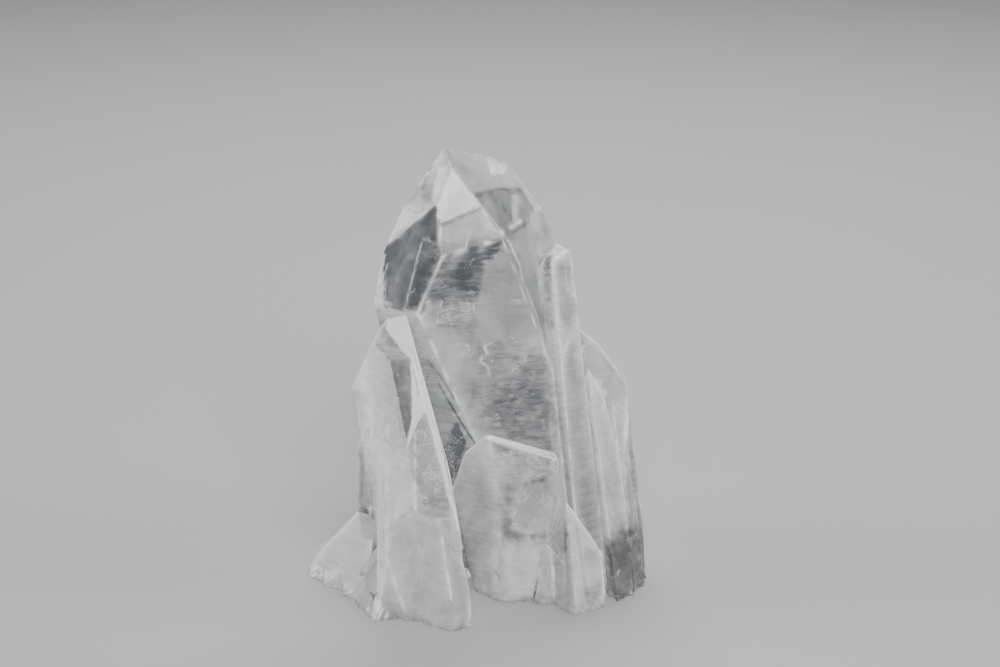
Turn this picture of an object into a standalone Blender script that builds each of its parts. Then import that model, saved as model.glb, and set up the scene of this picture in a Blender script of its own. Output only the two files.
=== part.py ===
"""Quartz crystal cluster: a tall tapered point with smaller crystals grown against its foot.

Each crystal is the space inside a set of flat faces. A face is given by three values:
  turn   the compass direction it looks in, in degrees: 0 is the front (-Y), 90 the right (+X)
  lean   how far it looks up from level, in degrees, negative for an undercut face
  reach  how far it stands from the crystal's heart, in millimetres
All crystals stand on the ground plane, z = 0, and the origin is under the middle of the cluster.
"""
import math

import bmesh
import bpy
from mathutils import Vector

MM = 0.001                # modelling unit: hearts and reaches are in millimetres
CONTACT_GAP = 0.3         # clearance between two crystals that grew together, mm
BLANK_SIZE = 400.0        # edge of the cube that each crystal is cut from, mm
SAME_POINT = 0.00001      # corners nearer than this are one corner, m

CLEAR = (0.80, 0.82, 0.84, 0.08, 0.92)      # red, green, blue, roughness, transmission
MILKY = (0.78, 0.79, 0.79, 0.28, 0.35)
ROSY = (0.80, 0.77, 0.75, 0.25, 0.45)
GREENISH = (0.77, 0.79, 0.73, 0.27, 0.35)

# name, finish, heart, faces. A crystal listed earlier keeps its whole shape,
# and the ones listed after it are notched where they meet it.
CRYSTALS = [
    ("front_right_chip", MILKY, (19, -16, 6), [
        (-14, 6, 2.5),     # left front face
        (30, 8, 3.0),      # right front face
        (-105, 7, 2.5),    # left rim
        (121, 32, 4.5),    # top rim
        (99, 0, 2.5),      # right rim
        (175, 12, 3.5),    # buried back
    ]),
    ("front_right_wedge", CLEAR, (27, -15, 8), [
        (-48, 9, 6.5),     # left front face
        (39, 18, 4.5),     # right front face
        (-99, -6, 7.5),    # foot of the left rim
        (-113, 19, 10.0),  # left rim
        (120, 32, 7.5),    # top of the right rim
        (116, 29, 7.0),    # right rim
        (98, 1, 6.0),      # foot of the right rim
        (172, 15, 6.5),    # buried back
    ]),
    ("fan_middle", MILKY, (-17, -20, 6), [
        (-32, 18, 4.0),    # front face
        (-95, -6, 3.5),    # left rim
        (-160, 53, 8.5),   # top rim
        (98, -10, 2.5),    # right rim
        (178, 14, 6.0),    # buried back
    ]),
    ("fan_inner", GREENISH, (-8, -24, 6), [
        (-31, 11, 6.0),    # broad front face
        (39, 19, 7.5),     # right front face
        (-106, 14, 8.5),   # left rim
        (-167, 53, 17.5),  # top rim
        (108, 10, 5.5),    # top of the right rim
        (102, 1, 5.5),     # foot of the right rim
        (178, 18, 8.5),    # buried back
    ]),
    ("fan_outer", MILKY, (-26, -15, 6), [
        (-55, 28, 3.5),    # left front face
        (22, 30, 7.5),     # right front face
        (-117, 30, 4.5),   # left rim
        (127, 35, 8.5),    # top rim
        (103, -2, 4.5),    # right rim
        (178, 18, 5.5),    # buried back
    ]),
    ("left_flare", MILKY, (-34, -1, 5), [
        (-48, 24, 6.5),    # sloping front face
        (-115, 29, 7.0),   # outer upper rim
        (-123, 39, 6.0),   # upper rim
        (120, 29, 8.5),    # inner rim
        (-165, 10, 9.0),   # back face
        (70, 0, 10.5),     # buried right face
        (-77, 0, 10.5),    # broken tip
    ]),
    ("left_window", CLEAR, (-29, -11, 25), [
        (-34, 8, 3.5),     # clear front face
        (45, 5, 6.0),      # right front face
        (-97, 0, 2.0),     # left rim
        (-110, 24, 7.5),   # left side of the tip
        (146, 48, 16.0),   # back of the tip
        (103, -1, 3.0),    # right rim
        (-175, 8, 8.0),    # buried back
    ]),
    ("left_pale", MILKY, (-22, -19, 20), [
        (-48, 6, 4.5),     # left front face
        (5, 8, 6.0),       # right front face
        (-97, 0, 3.0),     # left rim
        (-114, 30, 15.5),  # left side of the tip
        (107, 7, 6.0),     # right rim
        (176, 8, 9.0),     # buried back
        (-20, 0, 6.5),     # broken toe
    ]),
    ("left_companion", CLEAR, (-20, -14, 38), [
        (-23, 20, 12.5),   # tip face
        (-36, 11, 6.5),    # striated upper face
        (-43, 8, 6.5),     # broad left face
        (3, 13, 11.5),     # rough right face
        (60, 19, 15.5),    # bright bevel beside the ridge
        (-92, -11, 8.5),   # left flank
        (-108, 24, 19.5),  # left shoulder
        (-113, 33, 24.0),  # left side of the tip
        (-170, 59, 35.0),  # back of the tip
        (108, 11, 10.5),   # upper right flank
        (105, 5, 11.0),    # right flank
        (-172, 6, 14.5),   # buried back
        (-14, -15, 13.0),  # undercut foot behind the fan
        (45, 0, 23.0),     # broken foot of the ridge
    ]),
    ("front_block", ROSY, (12, -12, 20), [
        (68, 71, 22.0),    # bright bevel along the top
        (0, 3, 5.0),       # broad front face
        (-32, 0, 7.5),     # left front face
        (-94, -12, 16.5),  # foot of the left rim
        (-109, 19, 20.0),  # left rim
        (-133, 44, 22.0),  # left shoulder
        (156, 53, 18.0),   # back of the top
        (104, 11, 11.5),   # top of the right rim
        (89, -12, 6.5),    # right rim
        (95, -8, 6.0),     # foot of the right rim
        (176, 10, 5.0),    # buried back
    ]),
    ("right_rib_inner", MILKY, (32, -4, 28), [
        (43, 16, 5.0),     # right front face
        (-57, 2, 2.5),     # left front face
        (-99, -10, 0.5),   # left rim
        (-110, 14, 11.5),  # left side of the tip
        (113, 28, 13.0),   # right side of the tip
        (103, 12, 6.5),    # top of the right rim
        (99, 4, 6.0),      # foot of the right rim
        (172, 3, 10.0),    # buried back
    ]),
    ("right_rib_outer", MILKY, (38, -2, 22), [
        (61, 14, 3.0),     # right front face
        (-35, 9, 3.5),     # left front face
        (-100, -8, 1.0),   # left rim
        (-123, 33, 18.5),  # left side of the tip
        (107, 19, 7.5),    # right side of the tip
        (102, 9, 4.0),     # top of the right rim
        (99, 4, 4.0),      # foot of the right rim
        (172, 3, 8.5),     # buried back
    ]),
    ("right_slender", CLEAR, (23, -2, 45), [
        (-45, 2, 5.5),     # clear left front face
        (35, 10, 7.0),     # right front face
        (-56, 33, 27.5),   # oblique tip, left
        (25, 35, 25.5),    # oblique tip, right
        (-98, -10, 1.0),   # left flank
        (-101, 0, 7.5),    # top of the left flank
        (-117, 32, 28.0),  # back of the tip, left
        (134, 50, 36.5),   # back of the tip, right
        (101, 5, 5.5),     # right flank
        (172, 6, 9.0),     # back face
    ]),
    ("right_broad", MILKY, (34, 6, 30), [
        (19, 15, 9.0),     # broad front face
        (43, 10, 9.0),     # right front face
        (-109, 14, 16.0),  # buried upper left face
        (130, 45, 22.0),   # top face
        (115, 32, 15.5),   # right shoulder
        (98, 3, 8.0),      # right flank
        (100, 6, 7.0),     # foot of the right flank
        (170, 6, 15.5),    # back face
        (-80, -4, 16.0),   # buried left face
    ]),
    ("main_point", CLEAR, (2, 10, 55), [
        (5, 25, 29.5),     # tip face looking forward
        (10, 9, 20.0),     # broad front face
        (-38, 35, 41.0),   # tip face on the left
        (71, 42, 34.0),    # large tip face on the right
        (-21, 21, 31.0),   # left prism face
        (-25, -6, 22.5),   # undercut left face
        (69, 21, 23.0),    # right prism face
        (75, 8, 22.0),     # lower right face
        (-172, 63, 53.5),  # back of the tip
        (150, 61, 52.5),   # back of the tip, right
        (118, 26, 34.5),   # right shoulder
        (-118, 28, 35.5),  # back of the tip, left
        (-112, 15, 28.0),  # left shoulder
        (-100, 7, 27.5),   # left flank
        (-85, -12, 23.5),  # undercut left flank
        (104, 2, 21.5),    # right flank
        (142, 3, 26.0),    # back right face
        (178, 4, 20.0),    # back face
        (-125, -3, 26.5),  # back left face
    ]),
]


def face_direction(turn, lean):
    """The unit vector that a face looks along."""
    level = math.cos(math.radians(lean))
    return Vector((math.sin(math.radians(turn)) * level,
                   -math.cos(math.radians(turn)) * level,
                   math.sin(math.radians(lean))))


def cut_away(shape, point, direction):
    """Cut off what lies beyond a plane and close the cut with a flat face."""
    geometry = shape.verts[:] + shape.edges[:] + shape.faces[:]
    cut = bmesh.ops.bisect_plane(shape, geom=geometry, dist=SAME_POINT, plane_co=point,
                                 plane_no=direction, clear_outer=True)
    rim = [item for item in cut["geom_cut"] if isinstance(item, bmesh.types.BMEdge)]
    if rim:
        bmesh.ops.contextual_create(shape, geom=rim)


def crystal_mesh(name, heart, faces, margin=0.0):
    """A closed crystal, its faces moved out by the margin, standing on the ground plane."""
    shape = bmesh.new()
    bmesh.ops.create_cube(shape, size=BLANK_SIZE * MM)
    centre = Vector(heart) * MM
    for turn, lean, reach in faces:
        direction = face_direction(turn, lean)
        cut_away(shape, centre + direction * (reach + margin) * MM, direction)
    ground = Vector((0.0, 0.0, -margin * MM))
    cut_away(shape, ground, Vector((0.0, 0.0, -1.0)))
    bmesh.ops.remove_doubles(shape, verts=shape.verts, dist=SAME_POINT)
    bmesh.ops.recalc_face_normals(shape, faces=shape.faces)
    mesh = bpy.data.meshes.new(name)
    shape.to_mesh(mesh)
    shape.free()
    return mesh


def quartz(name, finish):
    """A Principled material for one crystal."""
    red, green, blue, roughness, transmission = finish
    material = bpy.data.materials.new(name + "_quartz")
    material.use_nodes = True
    shader = material.node_tree.nodes["Principled BSDF"]
    shader.inputs["Base Color"].default_value = (red, green, blue, 1.0)
    shader.inputs["Roughness"].default_value = roughness
    shader.inputs["Transmission Weight"].default_value = transmission
    shader.inputs["IOR"].default_value = 1.54
    material.diffuse_color = (red, green, blue, 1.0)
    return material


def place(name, mesh):
    """Put a mesh in the scene as a named object."""
    crystal = bpy.data.objects.new(name, mesh)
    bpy.context.scene.collection.objects.link(crystal)
    return crystal


def notch(crystal, cutters):
    """Cut a crystal back where the crystals in front of it stand."""
    for cutter in cutters:
        modifier = crystal.modifiers.new("notch for " + cutter.name, "BOOLEAN")
        modifier.operation = "DIFFERENCE"
        modifier.solver = "EXACT"
        modifier.object = cutter


def boxes_meet(first, second):
    """Whether the bounding boxes of two meshes overlap."""
    for axis in range(3):
        ours = [vertex.co[axis] for vertex in first.vertices]
        theirs = [vertex.co[axis] for vertex in second.vertices]
        if max(ours) < min(theirs) or max(theirs) < min(ours):
            return False
    return True


def main():
    for leftover in list(bpy.data.objects):
        bpy.data.objects.remove(leftover, do_unlink=True)
    cutters = []
    for name, finish, heart, faces in CRYSTALS:
        crystal = place(name, crystal_mesh(name, heart, faces))
        crystal.data.materials.append(quartz(name, finish))
        notch(crystal, [cutter for cutter in cutters if boxes_meet(crystal.data, cutter.data)])
        cutter = place(name + "_seat", crystal_mesh(name + "_seat", heart, faces, CONTACT_GAP))
        cutter.hide_render = True
        cutter.display_type = "WIRE"
        cutters.append(cutter)


main()
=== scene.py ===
"""Natural finish of the quartz crystal cluster: faceted crystals, inner veils and a studio stage."""
import itertools
import math

import bpy
import numpy as np
from bpy.props import FloatProperty, FloatVectorProperty, PointerProperty
from bpy.types import Operator, Panel, PropertyGroup
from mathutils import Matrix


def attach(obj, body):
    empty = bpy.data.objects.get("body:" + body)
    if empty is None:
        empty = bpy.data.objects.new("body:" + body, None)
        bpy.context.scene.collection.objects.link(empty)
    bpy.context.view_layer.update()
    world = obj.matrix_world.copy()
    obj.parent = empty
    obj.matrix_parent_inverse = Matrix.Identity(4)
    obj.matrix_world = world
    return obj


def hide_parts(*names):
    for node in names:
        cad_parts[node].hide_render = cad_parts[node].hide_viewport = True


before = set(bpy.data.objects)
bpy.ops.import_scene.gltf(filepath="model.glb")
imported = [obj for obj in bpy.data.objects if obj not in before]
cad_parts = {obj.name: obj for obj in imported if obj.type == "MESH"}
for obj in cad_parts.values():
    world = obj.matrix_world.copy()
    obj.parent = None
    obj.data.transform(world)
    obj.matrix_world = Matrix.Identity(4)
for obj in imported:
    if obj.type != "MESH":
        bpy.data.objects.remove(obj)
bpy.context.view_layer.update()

bl_info = {
    "name": "Quartz Crystal Cluster",
    "version": (1, 0, 0),
    "blender": (4, 5, 0),
    "location": "3D View > Sidebar > Quartz",
    "description": "Grows a faceted quartz cluster over its packed frame and lights it",
    "category": "Object",
}

MM = 0.001
CLOSE = 1e-6            # corners nearer than this are one corner, mm
ON_PLANE = 1e-3         # a corner nearer than this to a facet's plane belongs to the facet, mm
RIM_ROWS = (1.6, 0.8, 0.4, 0.2, 0.08, 0.0)  # how far the last mesh rows lie from a facet's rim, mm
MAIN_POINT_STEP = 1.32  # the main point's mesh step over the others', to stay under 200,000 triangles

GROWTH_AXIS = (-0.20, 0.05, 0.98)  # the growth steps follow each other along this direction
BREAK_HEIGHT = 3.5      # the broken foot reaches this high above the ground, mm
UNDERCUT = -0.17        # a face that looks down more than this (sine of its lean) has no painted edge highlight or rim glow
FRONT = -0.2            # a face whose direction points forward more than this takes bands

MILK_CONTRAST = 1.15    # a face's milk times this, less MILK_DROP, is what its points are painted with
MILK_DROP = 0.36
RIM_GLOW_MILK = 0.35         # how much milkier a facet is at its exposed rims: a painted glow
GROUND_MILK = 0.6       # milk of the underside
PLAIN_FROST = 0.25      # frost where no mark says otherwise
PLAIN_STREAK = 0.4      # streak of an upright face where no mark says otherwise

SPLINTER_WHITE = 0.35   # a band at least this white also gets a raised splinter
PAINTED_SHARE = 0.5     # how strongly a white band is painted on the facet itself
SLIVER_SIDES = 6
GLINT_FROST = 0.55      # a point with more frost than this may get a glint
GLINT_EVERY = 45        # such points to each glint

QUARTZ_IOR = 1.54
MILK_CURVE = 1.5        # above 1, thin milk lets more of the inside show
FLECK_SHARE = 0.6       # how white the frost's flecks are
# white of crushing and of painted highlights on edges, bands, splinters and glints
CRUSHED_AND_HIGHLIGHT_COLOUR = (0.98, 0.98, 0.98)
LINE_SLOPE = math.radians(-13.0)  # the growth lines' slope in the material

# Each crystal: slot, heart in millimetres, and its faces as (turn, lean, reach, milk).
# turn is the compass direction a face looks in (0 front, 90 right), lean how far it looks up,
# reach its distance from the heart, milk how cloudy the crystal is behind it (0 clear, 1 white).
CRYSTALS = {
    "main_point": ("clear_quartz", (2, 10, 55), [
        (5, 25, 29.5, 0.80), (10, 9, 20.0, 0.60), (-38, 35, 41.0, 0.62), (71, 42, 34.0, 0.66),
        (-21, 21, 31.0, 0.10), (-25, -6, 22.5, 0.55), (69, 21, 23.0, 0.55), (75, 8, 22.0, 0.50),
        (-172, 63, 53.5, 0.60), (150, 61, 52.5, 0.60), (118, 26, 34.5, 0.55), (-118, 28, 35.5, 0.60),
        (-112, 15, 28.0, 0.60), (-100, 7, 27.5, 1.0), (-85, -12, 23.5, 0.50), (104, 2, 21.5, 0.45),
        (142, 3, 26.0, 0.40), (178, 4, 20.0, 0.45), (-125, -3, 26.5, 0.45)]),
    "left_companion": ("clear_quartz", (-20, -14, 38), [
        (-23, 20, 12.5, 0.95), (-36, 11, 6.5, 0.80), (-43, 8, 6.5, 0.84), (3, 13, 11.5, 0.80),
        (60, 19, 15.5, 0.95), (-92, -11, 8.5, 0.70), (-108, 24, 19.5, 0.70), (-113, 33, 24.0, 0.75),
        (-170, 59, 35.0, 0.70), (108, 11, 10.5, 0.80), (105, 5, 11.0, 0.75), (-172, 6, 14.5, 0.60),
        (-14, -15, 13.0, 1.0), (45, 0, 23.0, 1.0)]),
    "left_window": ("clear_quartz", (-29, -11, 25), [
        (-34, 8, 6.2, 0.50), (45, 5, 7.5, 0.55), (-34, -30, 4.8, 1.0), (-97, 0, 0.6, 0.95),
        (-110, 24, 7.5, 0.70), (146, 48, 16.0, 0.60), (103, -1, 3.0, 0.50), (-175, 8, 8.0, 0.50)]),
    "left_pale": ("milky_quartz", (-22, -19, 20), [
        (-48, 6, 4.5, 0.85), (5, 8, 6.0, 0.70), (-97, 0, 3.0, 0.80), (-114, 30, 15.5, 0.85),
        (107, 7, 6.0, 0.70), (176, 8, 9.0, 0.60), (-20, 0, 6.5, 0.70)]),
    "left_flare": ("milky_quartz", (-34, -1, 5), [
        (-48, 24, 6.5, 0.86), (-115, 29, 7.0, 0.80), (-123, 39, 6.0, 0.80), (120, 29, 8.5, 0.70),
        (-165, 10, 9.0, 0.70), (70, 0, 10.5, 0.60), (-77, 0, 10.5, 0.70)]),
    "fan_outer": ("milky_quartz", (-26, -15, 6), [
        (-55, 28, 3.5, 0.80), (22, 30, 7.5, 0.70), (-117, 30, 4.5, 0.80), (127, 35, 8.5, 0.70),
        (103, -2, 4.5, 0.65), (178, 18, 5.5, 0.60)]),
    "fan_middle": ("milky_quartz", (-17, -20, 6), [
        (-32, 18, 4.0, 0.70), (-95, -6, 3.5, 0.80), (-160, 53, 8.5, 0.80), (98, -10, 2.5, 0.60),
        (178, 14, 6.0, 0.60)]),
    "fan_inner": ("greenish_quartz", (-8, -24, 6), [
        (-31, 11, 6.0, 0.75), (39, 19, 7.5, 0.60), (-106, 14, 8.5, 0.80), (-167, 53, 17.5, 0.80),
        (108, 10, 5.5, 0.90), (102, 1, 5.5, 0.80), (178, 18, 8.5, 0.60)]),
    "front_block": ("rosy_quartz", (12, -12, 20), [
        (68, 71, 22.0, 1.00), (0, 3, 5.0, 0.45), (-32, 0, 7.5, 0.70), (-94, -12, 16.5, 0.70),
        (-109, 19, 20.0, 0.70), (-133, 44, 22.0, 0.80), (156, 53, 18.0, 0.90), (104, 11, 11.5, 0.60),
        (89, -12, 6.5, 0.60), (95, -8, 6.0, 0.60), (176, 10, 5.0, 0.50)]),
    "front_right_chip": ("milky_quartz", (19, -16, 6), [
        (-14, 6, 2.5, 0.70), (30, 8, 3.0, 0.50), (-105, 7, 2.5, 0.80), (121, 32, 4.5, 0.80),
        (99, 0, 2.5, 0.60), (175, 12, 3.5, 0.60)]),
    "front_right_wedge": ("clear_quartz", (27, -15, 8), [
        (-48, 9, 6.5, 0.65), (39, 18, 4.5, 0.75), (-99, -6, 7.5, 0.70), (-113, 19, 10.0, 0.80),
        (120, 32, 7.5, 0.80), (116, 29, 7.0, 0.80), (98, 1, 6.0, 0.80), (172, 15, 6.5, 0.50)]),
    "right_slender": ("clear_quartz", (23, -2, 45), [
        (-45, 2, 5.5, 0.72), (35, 10, 7.0, 0.62), (-56, 33, 27.5, 0.80), (25, 35, 25.5, 0.75),
        (-98, -10, 1.0, 0.80), (-101, 0, 7.5, 0.85), (-117, 32, 28.0, 0.80), (134, 50, 36.5, 0.70),
        (101, 5, 5.5, 0.65), (172, 6, 9.0, 0.50)]),
    "right_rib_inner": ("milky_quartz", (32, -4, 28), [
        (43, 16, 5.0, 0.70), (-57, 2, 2.5, 0.95), (-99, -10, 0.5, 0.80), (-110, 14, 11.5, 0.70),
        (113, 28, 13.0, 0.70), (103, 12, 6.5, 0.70), (99, 4, 6.0, 0.60), (172, 3, 10.0, 0.50)]),
    "right_rib_outer": ("milky_quartz", (38, -2, 22), [
        (61, 14, 3.0, 0.60), (-35, 9, 3.5, 0.65), (-100, -8, 1.0, 0.80), (-123, 33, 18.5, 0.70),
        (107, 19, 7.5, 0.70), (102, 9, 4.0, 0.60), (99, 4, 4.0, 0.50), (172, 3, 8.5, 0.50)]),
    "right_broad": ("milky_quartz", (34, 6, 30), [
        (19, 15, 9.0, 0.65), (43, 10, 9.0, 0.40), (-109, 14, 16.0, 0.70), (130, 45, 22.0, 0.75),
        (115, 32, 15.5, 0.70), (98, 3, 8.0, 0.60), (100, 6, 7.0, 0.50), (170, 6, 15.5, 0.60),
        (-80, -4, 16.0, 0.60)]),
}


def patch(turn, outline, softness, **values):
    """A flat patch on the facet that looks towards turn. Its outline is (x, z) in millimetres."""
    return "patch", turn, values, softness, outline


def band(spine, width, **values):
    """A band over the crystal's front, along points (x, z) in millimetres."""
    return "band", None, values, width, spine
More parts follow.
